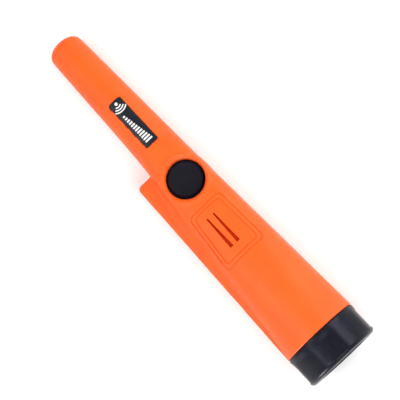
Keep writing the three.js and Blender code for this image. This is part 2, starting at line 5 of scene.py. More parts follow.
import bmesh
import bpy
import numpy as np
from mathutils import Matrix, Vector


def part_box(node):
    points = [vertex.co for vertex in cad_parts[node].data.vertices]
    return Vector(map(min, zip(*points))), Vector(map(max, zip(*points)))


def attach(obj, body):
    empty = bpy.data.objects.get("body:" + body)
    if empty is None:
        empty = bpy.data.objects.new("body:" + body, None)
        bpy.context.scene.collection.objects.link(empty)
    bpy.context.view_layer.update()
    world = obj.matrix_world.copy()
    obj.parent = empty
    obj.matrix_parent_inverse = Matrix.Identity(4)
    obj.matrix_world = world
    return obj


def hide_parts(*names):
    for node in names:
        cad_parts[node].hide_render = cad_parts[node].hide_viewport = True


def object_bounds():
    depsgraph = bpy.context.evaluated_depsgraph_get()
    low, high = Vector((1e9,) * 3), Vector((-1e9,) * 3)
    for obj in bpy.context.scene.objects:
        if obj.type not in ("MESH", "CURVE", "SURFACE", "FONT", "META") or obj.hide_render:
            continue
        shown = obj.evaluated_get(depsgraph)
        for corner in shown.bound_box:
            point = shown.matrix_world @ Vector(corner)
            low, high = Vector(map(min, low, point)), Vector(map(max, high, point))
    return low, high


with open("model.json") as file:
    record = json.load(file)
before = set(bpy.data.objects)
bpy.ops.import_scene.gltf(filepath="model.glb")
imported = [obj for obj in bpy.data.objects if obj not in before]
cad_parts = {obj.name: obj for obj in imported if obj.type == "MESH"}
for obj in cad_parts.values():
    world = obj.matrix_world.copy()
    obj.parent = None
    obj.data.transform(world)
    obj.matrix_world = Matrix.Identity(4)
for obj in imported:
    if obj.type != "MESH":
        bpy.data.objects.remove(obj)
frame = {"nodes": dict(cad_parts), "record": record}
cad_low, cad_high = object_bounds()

import openvdb
from mathutils import Matrix, Vector

# ---- Places in millimetres: X from the tip, Y from the wand's axis, Z from the floor -------------

MM = 0.001
TIP = Vector((cad_low.x, sum(c.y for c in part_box("ferrite_rod")) / 2, 0))


def to_row(points):
    """Millimetres in the probe's own frame to metres in the row frame."""
    return np.asarray(points, float) * MM + np.array(TIP)


def node_box(node):
    """A CAD node's two corners, in the probe's millimetres."""
    return [(Vector(corner) - TIP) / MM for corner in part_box(node)]


LENGTH = (cad_high.x - cad_low.x) / MM
SEAM_X = node_box("upper_shell")[1].x
CAP_LOW, CAP_HIGH = node_box("cap_shell")
CAP_R = (CAP_HIGH.z - CAP_LOW.z) / 2
CAP_Y = (CAP_LOW.y + CAP_HIGH.y) / 2
CAP_Z = (CAP_LOW.z + CAP_HIGH.z) / 2
BUTTON_LOW, BUTTON_HIGH = node_box("button_cap")
BUTTON_X = (BUTTON_LOW.x + BUTTON_HIGH.x) / 2
LIP_Z = BUTTON_HIGH.z + 1.7  # the button's rim stands this much below the lip round it
LIP_SLOPE = 0.0594  # the lip leans 3.4 degrees
LANDING_R = 12.4  # the raised ring that the lip is part of
SEAT_R = 13.1  # inside the shell: the ring that stops the button's flange
SEAT_DEPTH = 3.7
WELL_TOP_R = 11.5
WELL_LOW_R = 10.6
WELL_LEAN = 0.2  # the well's foot lies this much nearer the cap than its mouth
FLANGE_ROOM_R = 11.8
LAMP_LOW, LAMP_HIGH = node_box("lamp_led")
LAMP_Y = (LAMP_LOW.y + LAMP_HIGH.y) / 2
LAMP_Z = (LAMP_LOW.z + LAMP_HIGH.z) / 2
COVER_LOW, COVER_HIGH = node_box("speaker_cover")
SPEAKER = sum(node_box("speaker_magnet"), Vector()) / 2
SPEAKER_HOLE_R = 8
COVER_POCKET = 1.5
LABEL_POCKET = 0.6
LAMP_BORE_R = 2.9
CUT_FLOOR = 15  # openings cut from above stop at this height, inside the hollow
FIN_FRONT_X = LAMP_LOW.x - 0.6
FIN_HALF_HEIGHT = 5
FIN_EDGE_FRONT = -23.3
FIN_EDGE_BACK = -25.4
FIN_CORNER = 2.4
WALL = 2.4
WAND_END_X = 93
KINK = 0.4  # rounding where the wand's lines turn into the handle's
HANDLE_TOP_X, HANDLE_TOP_Z = 118, 26.5  # a point on the handle's rising top line
TIP_R = 10.2
WAND_R = 12.95
BELLY_CUT = 0.9
DOME_LENGTH = 6
DOME_POWER = 2.2

# ---- Sections of the housing ---------------------------------------------------------------------


def line(x, x0, value0, x1, value1):
    """The straight line that is value0 at x0 and value1 at x1."""
    return value0 + (x - x0) * (value1 - value0) / (x1 - x0)


def ease(x, start, end):
    """Rises smoothly from 0 at start to 1 at end."""
    t = np.clip((x - start) / (end - start), 0, 1)
    return t * t * (3 - 2 * t)


def round_max(a, b, rounding):
    """The larger of two straight lines, with the corner between them rounded off."""
    return (a + b + np.hypot(a - b, rounding)) / 2


def half_width(x):
    wand = line(x, 0, TIP_R, WAND_END_X, WAND_R)
    return round_max(wand, line(x, WAND_END_X, WAND_R, SEAM_X, CAP_R), KINK)


def centre_y(x):
    """The wand lies on Y = 0, and the handle swings away towards the fin."""
    return -round_max(0, line(x, WAND_END_X, 0, SEAM_X, -CAP_Y), KINK)


def top_z(x):
    wand = line(x, 0, 2 * TIP_R - BELLY_CUT, WAND_END_X, 2 * WAND_R - BELLY_CUT)
    return round_max(wand, line(x, HANDLE_TOP_X, HANDLE_TOP_Z, SEAM_X, 2 * CAP_R), 1)


def belly_z(x):
    """The section's lowest point, which the flat belly cuts off except near the cap."""
    return -BELLY_CUT * (1 - ease(x, 195, SEAM_X))


def parting_z(x):
    """Height of the surface where the two shells meet."""
    return (top_z(x) + belly_z(x)) / 2


def squareness(x):
    """0 where the section is round, 1 beside the button, where its top is flattest."""
    return ease(x, 78, 102) * (1 - 0.7 * ease(x, 112, 150) - 0.3 * ease(x, 150, SEAM_X - 3))


# ---- Distance fields: negative inside, in millimetres --------------------------------------------


def join(a, b, blend):
    """Union of two fields with a fillet about as wide as blend."""
    h = np.maximum(blend - np.abs(a - b), 0) / np.maximum(blend, 1e-6)
    return np.minimum(a, b) - h * h * blend / 4


def meet(a, b, blend):
    """Intersection of two fields with a rounded edge."""
    return -join(-a, -b, blend)


def body_field(x, y, z, inset=0.0, behind=0.0):
    """The closed body without its fin, drawn in by inset.

    behind shifts the dome back along the wand."""
    middle = parting_z(x)
    wide = half_width(x) - inset
    high = (top_z(x) - belly_z(x)) / 2 - inset
    side, up = y - centre_y(x), z - middle
    power = 2 + squareness(x) * np.where(up > 0, 2.4, 0.4)
    across = ((np.abs(side) / wide) ** power + (np.abs(up) / high) ** power) ** (1 / power)
    back = np.clip(DOME_LENGTH + behind - x, 0, None)
    share = ((back / DOME_LENGTH) ** DOME_POWER + across**DOME_POWER) ** (1 / DOME_POWER)
    reach = np.sqrt(back**2 + side**2 + up**2)
    return reach - reach / np.maximum(share, 1e-3)


def round_corner(a, b):
    """Distance to the corner where the half planes a and b meet, round on the outside."""
    return np.hypot(np.maximum(a, 0), np.maximum(b, 0)) + np.minimum(np.maximum(a, b), 0)


def fin_field(x, y, z, inset=0.0, rounding=1.3):
    """The flat-topped scraping fin, open on its inner side."""
    edge = line(x, 98, FIN_EDGE_FRONT, SEAM_X, FIN_EDGE_BACK)
    front, side = FIN_FRONT_X + inset - x + FIN_CORNER, edge + inset - y + FIN_CORNER
    plan = round_corner(front, side) - FIN_CORNER + rounding
    flat = np.abs(z - parting_z(x)) - FIN_HALF_HEIGHT + inset + rounding
    return np.maximum(round_corner(plan, flat) - rounding, y - centre_y(x) + 4)


def disc_field(x, y, radius, at_x):
    """An upright cylinder without ends, standing on the wand's axis."""
    return np.hypot(x - at_x, y) - radius


def outline_field(x, y, corners, rounding):
    """A four-cornered outline seen from above, with rounded corners."""
    field = None
    middle = np.mean(corners, 0)
    for i, start in enumerate(corners):
        end = corners[(i + 1) % len(corners)]
        normal = np.array([end[1] - start[1], start[0] - end[0]], float)
        normal /= np.linalg.norm(normal)
        if np.dot(normal, np.array(start) - middle) < 0:
            normal = -normal
        edge = (x - start[0]) * normal[0] + (y - start[1]) * normal[1]
        field = edge if field is None else meet(field, edge, rounding)
    return field


COVER_CORNERS = [(127.5, -13.05), (162.1, -16.2), (162.1, 10), (127.5, 8.4)]
LABEL_CORNERS = [(49.9, -3.8), (83, -3.8), (83, 4.65), (49.9, 4.65)]


def cover_outline(x, y):
    return outline_field(x, y, COVER_CORNERS, 3.0)


def label_outline(x, y):
    return outline_field(x, y, LABEL_CORNERS, 1.3)


def lip_z(x):
    """Height of the lip round the button, which rises with the wand's top."""
    return LIP_Z + LIP_SLOPE * (x - BUTTON_X)


def skin_field(x, y, z):
    """The outer skin of the whole housing: body, fin, landing round the button and flat belly."""
    body = body_field(x, y, z)
    blend = (1.2 + 3.8 * ease(x, 96, 125)) * (1 - ease(x, 160, 205))
    skin = join(body, fin_field(x, y, z), blend)
    landing = meet(disc_field(x, y, LANDING_R, BUTTON_X), z - lip_z(x), 1.0)
    landing = np.maximum(landing, 14 - z)
    skin = join(skin, landing, 3.2)
    above = np.maximum(disc_field(x, y, LANDING_R - 0.4, BUTTON_X), lip_z(x) - z)
    skin = meet(skin, -above, 2.0)
    return meet(skin, -z, 0.5)


def housing_field(x, y, z):
    """Both shells in one, hollow, with the openings for the button, cover, label, lamp and cap."""
    skin = skin_field(x, y, z)
    solid = meet(skin, x - SEAM_X, 0.7)
    hollow = np.maximum(body_field(x, y, z, WALL, WALL), WALL - 0.4 - z)
    core = np.maximum(fin_field(x, y, z, WALL, 0.3), x - 170)
    solid = meet(solid, -join(hollow, core, 0.6), 0.4)
    seat = np.maximum(disc_field(x, y, SEAT_R, BUTTON_X), z - lip_z(x))
    seat = np.maximum(seat, LIP_Z - SEAT_DEPTH - z)
    solid = np.minimum(solid, np.maximum(seat, skin + 0.3))
    from_speaker = np.hypot(x - SPEAKER.x, y - SPEAKER.y)
    collar = np.maximum(from_speaker - 10.5, 9.3 - from_speaker)
    solid = np.minimum(solid, np.maximum(np.maximum(collar, 21 - z), skin + WALL - 0.5))
    well_x = BUTTON_X + line(z, LIP_Z - SEAT_DEPTH, WELL_LEAN, LIP_Z, 0)
    well = disc_field(x, y, line(z, LIP_Z - SEAT_DEPTH, WELL_LOW_R, LIP_Z, WELL_TOP_R), well_x)
    solid = meet(solid, -np.maximum(well, CUT_FLOOR - z), 0.8)
    flange_room = np.maximum(disc_field(x, y, FLANGE_ROOM_R, BUTTON_X), CUT_FLOOR - z)
    solid = np.maximum(solid, -np.maximum(flange_room, z - LIP_Z + SEAT_DEPTH))
    pocket = np.maximum(cover_outline(x, y), -(skin + COVER_POCKET))
    solid = meet(solid, -np.maximum(pocket, CUT_FLOOR - z), 0.45)
    solid = np.maximum(solid, -np.maximum(from_speaker - SPEAKER_HOLE_R, 20 - z))
    label = np.maximum(np.maximum(label_outline(x, y), -(skin + LABEL_POCKET)), 12 - z)
    solid = meet(solid, -label, 0.25)
    bore = np.maximum(np.hypot(y - LAMP_Y, z - LAMP_Z) - LAMP_BORE_R, x - 104)
    return meet(solid, -bore, 0.5)


# ---- Making meshes -------------------------------------------------------------------------------


def gradient(field, points, step=0.02):
    """The field's slope at each point, by central differences."""
    columns = []
    for axis in range(3):
        ahead, behind = points.copy(), points.copy()
        ahead[:, axis] += step
        behind[:, axis] -= step
        columns.append((field(*ahead.T) - field(*behind.T)) / (2 * step))
    return np.stack(columns, 1)


def settle(field, points, rounds=3):
    """Moves points on to the surface where field is zero."""
    for _ in range(rounds):
        slope = gradient(field, points)
        steep = np.maximum((slope**2).sum(1), 0.05)
        shift = (field(*points.T) / steep)[:, None] * slope
        points = points - np.clip(shift, -0.2, 0.2)
    return points


SLAB = 32  # grid layers worked out at a time, to keep the memory small


def voxel_surface(field, low, high, step, adaptivity):
    """Points, in millimetres, and faces of the surface where field is zero."""
    axes = [np.arange(a, b + step, step) for a, b in zip(low, high)]
    values = np.empty([len(a) for a in axes], np.float32)
    y, z = axes[1][None, :, None], axes[2][None, None, :]
    for start in range(0, len(axes[0]), SLAB):
        part = slice(start, start + SLAB)
        values[part] = field(axes[0][part, None, None], y, z)
    grid = openvdb.FloatGrid(3 * step)
    grid.copyFromArray(values)
    points, triangles, quads = grid.convertToPolygons(0, adaptivity)
    points = settle(field, points.astype(float) * step + np.array(low, float))
    return points, [list(map(int, f)) for f in quads] + [list(map(int, f)) for f in triangles]


def new_object(name, mesh):
    """An object in the scene that shows mesh."""
    piece = bpy.data.objects.new(name, mesh)
    bpy.context.scene.collection.objects.link(piece)
    return piece


def mesh_from(name, points, faces):
    """A mesh from millimetres, with every face pointing out."""
    mesh = bpy.data.meshes.new(name)
    mesh.from_pydata(to_row(points).tolist(), [], faces)
    bm = bmesh.new()
    bm.from_mesh(mesh)
    bmesh.ops.remove_doubles(bm, verts=bm.verts, dist=1e-8)
    bmesh.ops.recalc_face_normals(bm, faces=bm.faces)
    bm.to_mesh(mesh)
    bm.free()
    mesh.shade_smooth()
    return mesh


def shade_by_field(mesh, field, flat_faces=()):
    """Gives the mesh normals from the field's slope; flat_faces keep their own."""
    points = np.empty(len(mesh.vertices) * 3)
    mesh.vertices.foreach_get("co", points)
    points = (points.reshape(-1, 3) - np.array(TIP)) / MM
    slope = gradient(field, points, 0.05)
    slope /= np.maximum(np.linalg.norm(slope, axis=1), 1e-9)[:, None]
    corners = np.empty(len(mesh.loops), int)
    mesh.loops.foreach_get("vertex_index", corners)
    normals = slope[corners]
    for face in flat_faces:
        polygon = mesh.polygons[face]
        normals[polygon.loop_start : polygon.loop_start + polygon.loop_total] = polygon.normal
    mesh.normals_split_custom_set(normals.tolist())


def half_of(points, faces, side, gap):
    """The part of a surface above (side 1) or below (-1) the parting surface.

    It is closed with flat faces, which have material index 1."""
    mesh = bpy.data.meshes.new("half")
    flat = points.copy()
    flat[:, 2] -= parting_z(np.clip(points[:, 0], 0, SEAM_X))
    mesh.from_pydata(flat.tolist(), [], faces)
    bm = bmesh.new()
    bm.from_mesh(mesh)
    bmesh.ops.recalc_face_normals(bm, faces=bm.faces)
    cut = bmesh.ops.bisect_plane(
        bm,
        geom=bm.verts[:] + bm.edges[:] + bm.faces[:],
        dist=1e-5,
        plane_co=(0, 0, side * gap),
        plane_no=(0, 0, 1),
        clear_inner=side > 0,
        clear_outer=side < 0,
    )
    rim = [e for e in cut["geom_cut"] if isinstance(e, bmesh.types.BMEdge)]
    filled = bmesh.ops.triangle_fill(bm, edges=rim, use_beauty=True, use_dissolve=False)
    for face in filled["geom"]:
        if isinstance(face, bmesh.types.BMFace):
            face.material_index = 1
    bmesh.ops.recalc_face_normals(bm, faces=bm.faces)
    for vert in bm.verts:
        x, y, z = vert.co
        vert.co = to_row((x, y, z + parting_z(min(max(x, 0), SEAM_X))))
    bm.to_mesh(mesh)
    bm.free()
    return mesh


def turned(name, profile, place, axis, segments, warp=None):
    """A profile of (radius, distance) pairs, from axis to axis, turned about a line through place.

    warp(angle, radius, distance) may change the radius."""
    radius, along = np.array(profile, float).T
    angle = np.linspace(0, 2 * np.pi, segments, endpoint=False)
    r = np.repeat(radius[:, None], segments, 1)
    d = np.repeat(along[:, None], segments, 1)
    a = np.repeat(angle[None], len(radius), 0)
    if warp:
        r = warp(a, r, d)
    u, v = r * np.cos(a), r * np.sin(a)
    points = np.stack([u, v, d] if axis == "Z" else [d, u, v], -1)
    points = points.reshape(-1, 3) + np.array(place)
    faces = []
    for i in range(len(radius) - 1):
        row, after = i * segments, (i + 1) * segments
        for j in range(segments):
            k = (j + 1) % segments
            faces.append((row + j, row + k, after + k, after + j))
    mesh = mesh_from(name, points, faces)
    mesh.set_sharp_from_angle(angle=math.radians(40))
    return new_object(name, mesh)


def softened(profile, radius, steps):
    """A profile with every inner corner turned into a short arc."""
    out = [profile[0]]
    for before, corner, after in zip(profile, profile[1:], profile[2:]):
        p, c, n = (np.array(q, float) for q in (before, corner, after))
        room = min(np.linalg.norm(p - c), np.linalg.norm(n - c)) * 0.45
        reach = min(radius, room)
        start = c + (p - c) / np.linalg.norm(p - c) * reach
        end = c + (n - c) / np.linalg.norm(n - c) * reach
        for i in range(steps + 1):
            t = i / steps
            out.append(tuple((1 - t) ** 2 * start + 2 * t * (1 - t) * c + t * t * end))
    out.append(profile[-1])
    return out


# ---- Materials -----------------------------------------------------------------------------------


class Look:
    """A Principled material, with short ways to add noise to its colour, roughness and bump."""

    def __init__(self, name, color, roughness, metallic=0.0, **constants):
        self.material = bpy.data.materials.new(name)
        self.material.use_nodes = True
        self.tree = self.material.node_tree
        self.shader = self.tree.nodes["Principled BSDF"]
        self.shader.inputs["Base Color"].default_value = (*color, 1)
        self.shader.inputs["Roughness"].default_value = roughness
        self.shader.inputs["Metallic"].default_value = metallic
        for socket, value in constants.items():
            self.shader.inputs[socket.replace("_", " ")].default_value = value
        self.place = self.tree.nodes.new("ShaderNodeTexCoord").outputs["Object"]

    def noise(self, size_mm, detail, stretch=None):
        """Noise with features of about size_mm; stretch squeezes it along the axes."""
        source = self.place
        if stretch:
            mapping = self.tree.nodes.new("ShaderNodeMapping")
            mapping.inputs["Scale"].default_value = stretch
            self.tree.links.new(source, mapping.inputs["Vector"])
            source = mapping.outputs["Vector"]
        node = self.tree.nodes.new("ShaderNodeTexNoise")
        node.inputs["Scale"].default_value = 1 / (size_mm * MM)
        node.inputs["Detail"].default_value = detail
        self.tree.links.new(source, node.inputs["Vector"])
        return node.outputs["Fac"]

    def ramp(self, value, low, high, out_low, out_high):
        """Maps low..high to out_low..out_high."""
        node = self.tree.nodes.new("ShaderNodeMapRange")
        sockets = ("From Min", "From Max", "To Min", "To Max")
        for socket, number in zip(sockets, (low, high, out_low, out_high)):
            node.inputs[socket].default_value = number
        self.tree.links.new(value, node.inputs["Value"])
        return node.outputs["Result"]

    def tint(self, value, color):
        """Mixes color over the present base colour where value is 1."""
        base = self.shader.inputs["Base Color"]
        node = self.tree.nodes.new("ShaderNodeMix")
        node.data_type = "RGBA"
        if base.is_linked:
            self.tree.links.new(base.links[0].from_socket, node.inputs["A"])
        else:
            node.inputs["A"].default_value = base.default_value
        node.inputs["B"].default_value = (*color, 1)
        self.tree.links.new(value, node.inputs["Factor"])
        self.tree.links.new(node.outputs["Result"], base)

    def roughen(self, value):
        self.tree.links.new(value, self.shader.inputs["Roughness"])

    def bump(self, value, height_mm):
        node = self.tree.nodes.new("ShaderNodeBump")
        node.inputs["Distance"].default_value = height_mm * MM
        self.tree.links.new(value, node.inputs["Height"])
        self.tree.links.new(node.outputs["Normal"], self.shader.inputs["Normal"])


def moulded(name, color, shade, roughness, grain_mm=0.35, grain_height=0.02):
    """Moulded plastic or rubber: a fine grain, slow changes of colour and rubbed patches."""
    look = Look(name, color, roughness)
    look.tint(look.ramp(look.noise(14, 2), 0.35, 0.7, 0, 0.6), shade)
    rubbed = look.noise(5, 5)
    look.roughen(look.ramp(rubbed, 0.3, 0.75, roughness - 0.06, roughness + 0.07))
    look.bump(look.noise(grain_mm, 2), grain_height)
    return look


orange = moulded("orange_plastic", (0.93, 0.108, 0.007), (0.88, 0.091, 0.006), 0.52)
orange.shader.inputs["Specular IOR Level"].default_value = 0.28
black_cap = moulded("black_plastic", (0.008, 0.008, 0.013), (0.006, 0.006, 0.009), 0.31)
black_cap.shader.inputs["Specular IOR Level"].default_value = 0.15
black_cap.shader.inputs["Specular Tint"].default_value = (0.78, 0.82, 1.0, 1)
scratch = black_cap.noise(1.6, 6, stretch=(0.15, 2.2, 2.2))
black_cap.tint(black_cap.ramp(scratch, 0.62, 0.72, 0, 0.5), (0.040, 0.040, 0.048))
rubber = moulded("black_rubber", (0.006, 0.006, 0.010), (0.009, 0.009, 0.013), 0.8, 0.22, 0.015)
rubber.shader.inputs["Specular IOR Level"].default_value = 0.1
label_black = moulded("label_black", (0.011, 0.012, 0.018), (0.015, 0.016, 0.023), 0.34, 0.5, 0.004)
label_black.shader.inputs["Specular IOR Level"].default_value = 0.25
ink = moulded("label_ink", (0.80, 0.81, 0.80), (0.70, 0.71, 0.71), 0.45, 0.3, 0.004)


def plain(
    name, color, shade, roughness, metallic=0.0, grain_mm=0.6, grain_height=0.01, **constants
):
    """A fine-grained material for the inner pieces."""
    look = Look(name, color, roughness, metallic, **constants)
    look.tint(look.ramp(look.noise(3, 3), 0.35, 0.7, 0, 0.7), shade)
    look.roughen(look.ramp(look.noise(1.5, 4), 0.3, 0.7, roughness * 0.8, min(1, roughness * 1.2)))
    look.bump(look.noise(grain_mm, 3), grain_height)
    return look


looks = {
    "orange_plastic": orange,
    "black_plastic": black_cap,
    "black_rubber": rubber,
    # red_rubber is the sheet seen through the speaker slots: partly a red part, partly painted
    # shade, its dark red-brown set to the look of shaded orange deep in the slots.
    "red_rubber": plain(
        "red_rubber", (0.46, 0.030, 0.003), (0.38, 0.022, 0.002), 0.8, Specular_IOR_Level=0.05
    ),
    "label_black": label_black,
    "label_ink": ink,
    "foam": plain("foam", (0.045, 0.045, 0.05), (0.03, 0.03, 0.033), 0.95, 0, 0.5, 0.3),
    "clear_resin": plain(
        "clear_resin", (0.9, 0.94, 0.97), (0.85, 0.9, 0.95), 0.06, Transmission_Weight=1.0
    ),
    "circuit_board": plain("circuit_board", (0.012, 0.12, 0.04), (0.02, 0.17, 0.06), 0.35),
    "chip_black": plain("chip_black", (0.015, 0.015, 0.016), (0.025, 0.025, 0.026), 0.5),
    "steel": plain("steel", (0.55, 0.56, 0.58), (0.45, 0.46, 0.48), 0.3, 1),
    "tin": plain("tin", (0.68, 0.69, 0.70), (0.58, 0.59, 0.61), 0.32, 1),
    "brass": plain("brass", (0.75, 0.53, 0.2), (0.62, 0.42, 0.16), 0.3, 1),
    "copper": plain("copper", (0.72, 0.27, 0.11), (0.55, 0.18, 0.07), 0.3, 1, 0.3, 0.05),
    "ferrite": plain("ferrite", (0.045, 0.042, 0.042), (0.07, 0.065, 0.062), 0.6),
    "paper_cone": plain(
        "paper_cone", (0.03, 0.027, 0.024), (0.045, 0.04, 0.035), 0.9, 0, 0.3, 0.05
    ),
    "red_insulation": plain("red_insulation", (0.5, 0.02, 0.015), (0.4, 0.015, 0.012), 0.4),
    "black_insulation": plain(
        "black_insulation", (0.015, 0.015, 0.017), (0.025, 0.025, 0.027), 0.4
    ),
    "battery_jacket": plain("battery_jacket", (0.05, 0.065, 0.08), (0.035, 0.045, 0.06), 0.28),
    "ivory_plastic": plain("ivory_plastic", (0.72, 0.67, 0.55), (0.64, 0.59, 0.48), 0.45),
    "blue_plastic": plain("blue_plastic", (0.03, 0.12, 0.38), (0.025, 0.1, 0.3), 0.4),
}


def finish_piece(piece, look_name, body, replaced=()):
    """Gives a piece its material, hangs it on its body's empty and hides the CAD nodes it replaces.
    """
    piece.data.materials.clear()
    piece.data.materials.append(looks[look_name].material)
    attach(piece, body)
    if replaced:
        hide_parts(*replaced)
    return piece


# ---- Shells --------------------------------------------------------------------------------------

STEP = 0.42
shell_points, shell_faces = voxel_surface(
    housing_field, (-1.5, -27.5, -1.5), (SEAM_X + 1.5, 20, 45.5), STEP, 0.12
)
for shell_name, side in (("upper_shell", 1), ("lower_shell", -1)):
    shell_mesh = half_of(shell_points, shell_faces, side, 0.05)
    cut_faces = [p.index for p in shell_mesh.polygons if p.material_index == 1]
    for p in shell_mesh.polygons:
        p.material_index = 0
    shell_mesh.shade_smooth()
    shade_by_field(shell_mesh, housing_field, cut_faces)
    shell = new_object(shell_name + "_skin", shell_mesh)
    finish_piece(shell, "orange_plastic", "housing", [shell_name])


# ---- Speaker cover -------------------------------------------------------------------------------

COVER_GAP = 0.06
SLOT_FRONT, SLOT_BACK = 134.3, 154.6
SLOT_FRONT_HALF, SLOT_BACK_HALF = 0.42, 1.05
SLOT_SIDES = (2.25, -2.3)  # from the speaker's middle


def cover_field(x, y, z):
    skin = skin_field(x, y, z)
    outline = cover_outline(x, y) + COVER_GAP
    solid = meet(meet(skin, outline, 0.5), -(skin + 1.2), 0.2)
    groove = np.hypot((cover_outline(x, y) + 2.2) * 1.6, skin) - 0.42
    solid = meet(solid, -groove, 0.12)
    wide = line(x, SLOT_FRONT, SLOT_FRONT_HALF, SLOT_BACK, SLOT_BACK_HALF)
    ends = np.maximum(SLOT_FRONT - x, x - SLOT_BACK)
    for side in SLOT_SIDES:
        slot = np.maximum(np.abs(y - (SPEAKER.y + side)) - wide, ends)
        solid = meet(solid, -slot, 0.3)
    return np.maximum(solid, CUT_FLOOR - z)


def field_piece(name, field, low, high, step):
    """An object whose surface is where field is zero, shaded by the field's own slope."""
    points, faces = voxel_surface(field, low, high, step, 0.02)
    mesh = mesh_from(name, points, faces)
    shade_by_field(mesh, field)
    return new_object(name, mesh)


cover = field_piece(
    "speaker_cover_skin",
    cover_field,
    COVER_LOW - Vector((1, 1, 1)),
    COVER_HIGH + Vector((1, 1, 1)),
    0.2,
)
finish_piece(cover, "orange_plastic", "housing", ["speaker_cover"])


# ---- Label with generic marks --------------------------------------------------------------------


def label_field(x, y, z):
    skin = skin_field(x, y, z)
    solid = meet(skin - 0.1, label_outline(x, y) + 0.12, 0.25)
    return np.maximum(meet(solid, -(skin + 0.4), 0.1), 12 - z)


LABEL_LOW, LABEL_HIGH = node_box("name_label")
label = field_piece(
    "label_plate",
    label_field,
    LABEL_LOW - Vector((1, 1, 1)),
    LABEL_HIGH + Vector((1, 1, 1)),
    0.22,
)
finish_piece(label, "label_black", "housing", ["name_label"])


def surface_height(x, y, lift):
    """Height of the skin, raised by lift, above points seen from above."""
    low, high = np.full_like(x, 15.0), np.full_like(x, 45.0)
    for _ in range(40):
        middle = (low + high) / 2
        inside = skin_field(x, y, middle) < lift
        low, high = np.where(inside, middle, low), np.where(inside, high, middle)
    return low


def printed_patch(x, y):
    """Points and faces of a thin printed patch over a grid of points seen from above."""
    rows, columns = x.shape
    top = np.stack([x, y, surface_height(x, y, 0.125)], -1).reshape(-1, 3)
    under = np.stack([x, y, surface_height(x, y, 0.06)], -1).reshape(-1, 3)
    grid = np.arange(rows * columns).reshape(rows, columns)
    faces = []
    for base, flip in ((0, False), (rows * columns, True)):
        for i in range(rows - 1):
            for j in range(columns - 1):
                face = [grid[i, j], grid[i + 1, j], grid[i + 1, j + 1], grid[i, j + 1]]
                faces.append([int(k) + base for k in (face[::-1] if flip else face)])
    rim = [*grid[0], *grid[1:, -1], *grid[-1, -2::-1], *grid[-2:0:-1, 0]]
    for a, b in zip(rim, rim[1:] + rim[:1]):
        faces.append([int(a), int(b), int(b) + rows * columns, int(a) + rows * columns])
    return np.concatenate([top, under]), faces


def bar_patch(x0, x1, y0, y1):
    grid = np.meshgrid(np.linspace(x0, x1, 8), np.linspace(y0, y1, 8), indexing="ij")
    return printed_patch(*grid)


def arc_patch(at_x, at_y, inner, outer, start, end):
    radius, angle = np.meshgrid(
        np.linspace(inner, outer, 3), np.radians(np.linspace(start, end, 24)), indexing="ij"
    )
    return printed_patch(at_x + radius * np.cos(angle), at_y + radius * np.sin(angle))


def label_marks():
    """Sound waves from a dot and a row of rising bars: marks that belong to no maker."""
    dot_x, dot_y = 52.4, 0.4
    first_bar_x, bar_pitch, bar_width = 60.4, 1.72, 1.0
    bar_foot_y, first_bar_y, bar_rise = -1.9, -0.5, 0.3
    marks = [arc_patch(dot_x, dot_y, 0.05, 0.95, 0, 360)]
    marks += [arc_patch(dot_x, dot_y, r, r + 0.7, -48, 48) for r in (1.9, 3.4, 4.9)]
    for i in range(12):
        start = first_bar_x + bar_pitch * i
        marks.append(bar_patch(start, start + bar_width, bar_foot_y, first_bar_y + bar_rise * i))
    return marks


mark_points, mark_faces, offset = [], [], 0
for patch_points, patch_faces in label_marks():
    mark_points.append(patch_points)
    mark_faces += [[k + offset for k in face] for face in patch_faces]
    offset += len(patch_points)
marks = new_object("label_marks", mesh_from("label_marks", np.concatenate(mark_points), mark_faces))
finish_piece(marks, "label_ink", "housing")


# ---- Push button ---------------------------------------------------------------------------------

BUTTON_R = 9.7
FLANGE_R = 11.3
FLANGE_Z = LIP_Z - 4.0
FLANGE_THICK = 1.4
STEM_R = 2.6
button_profile = softened(
    [
        (0, LIP_Z - 2.2),
        (7.0, LIP_Z - 2.15),
        (8.1, LIP_Z - 1.7),
        (8.9, LIP_Z - 1.7),
        (BUTTON_R, LIP_Z - 2.6),
        (BUTTON_R, FLANGE_Z),
        (FLANGE_R, FLANGE_Z),
        (FLANGE_R, FLANGE_Z - FLANGE_THICK),
        (STEM_R, FLANGE_Z - FLANGE_THICK),
        (STEM_R, BUTTON_LOW.z),
        (0, BUTTON_LOW.z),
    ],
    0.45,
    5,
)
button = turned("button_dome", button_profile, (BUTTON_X, 0, 0), "Z", 144)
finish_piece(button, "black_rubber", "button", ["button_cap"])


# ---- Screw cap -----------------------------------------------------------------------------------

THREAD_PITCH = 3.0
THREAD_START = 222.0
THREAD_TURNS = 1.75
CAP_MOUTH_R = 20.3
CAP_BORE_R = 19.4
CAP_BORE_FRONT, CAP_BORE_BACK = 220.0, 229.2
CAP_BACK_ROOM_R = 16
CAP_FLOOR_X = 232.4
CAP_RECESS_R = 14.2
CAP_RECESS_DEPTH = 0.6
HOLLOWS = 8
HOLLOW_DEPTH = 0.55
HOLLOW_HALF_ANGLE = 19


def thread(angle, along, phase):
    """0 to 1: how far the helical ridge stands out at an angle and a distance along the axis."""
    turn = (along - THREAD_START) / THREAD_PITCH - (angle - phase) / (2 * np.pi)
    near = np.round(turn)
    offset = np.abs(turn - near) * THREAD_PITCH
    walked = angle / (2 * np.pi) - phase / (2 * np.pi) + near
    fade = ease(walked, 0, 0.12) * (1 - ease(walked, THREAD_TURNS - 0.12, THREAD_TURNS))
    return np.clip((0.75 - offset) / 0.4, 0, 1) * fade


